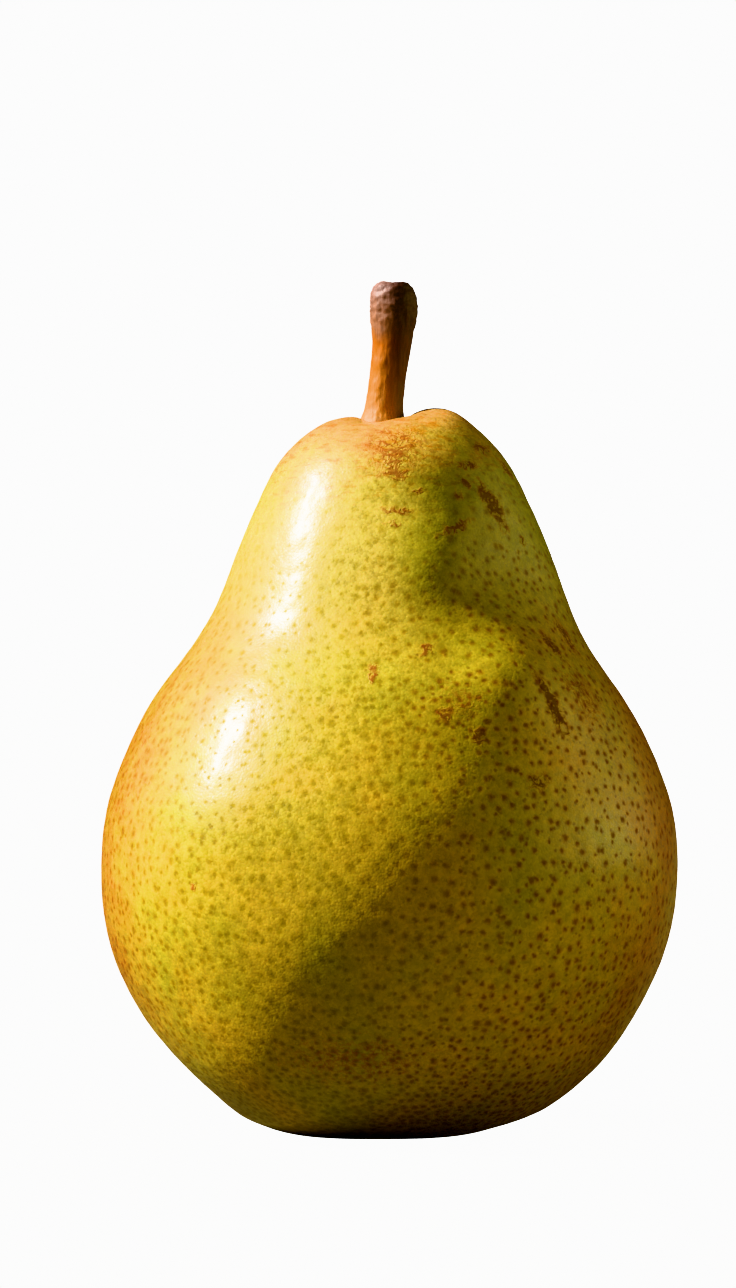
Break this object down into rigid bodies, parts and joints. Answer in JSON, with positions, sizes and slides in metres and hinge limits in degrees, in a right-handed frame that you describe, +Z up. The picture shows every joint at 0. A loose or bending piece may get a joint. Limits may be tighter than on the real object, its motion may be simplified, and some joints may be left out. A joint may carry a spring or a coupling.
{
  "type": "pear",
  "caption": "Whole ripe pear with a round belly, tapering neck and woody stalk, standing upright on its blossom end, with a withered calyx in the basin underneath.",
  "frame": {"origin": "on the surface the pear stands on, under the middle of its belly", "axes": "+Z up along the fruit's axis from calyx to stalk, +X to the right of the side with the russet patch below the stalk, +Y away from that side"},
  "size_m": [0.0763, 0.0732, 0.1121],
  "materials": {
    "waxy_skin": "satin",
    "stalk_bark": "satin",
    "withered_sepal": "matte",
    "withered_stamen": "matte"
  },
  "bodies": {
    "root": {"fruit": "waxy_skin", "stalk": "stalk_bark", "sepal_1": "withered_sepal", "sepal_2": "withered_sepal", "sepal_3": "withered_sepal", "sepal_4": "withered_sepal", "sepal_5": "withered_sepal", "stamen_tuft": "withered_stamen"}
  },
  "joints": []
}
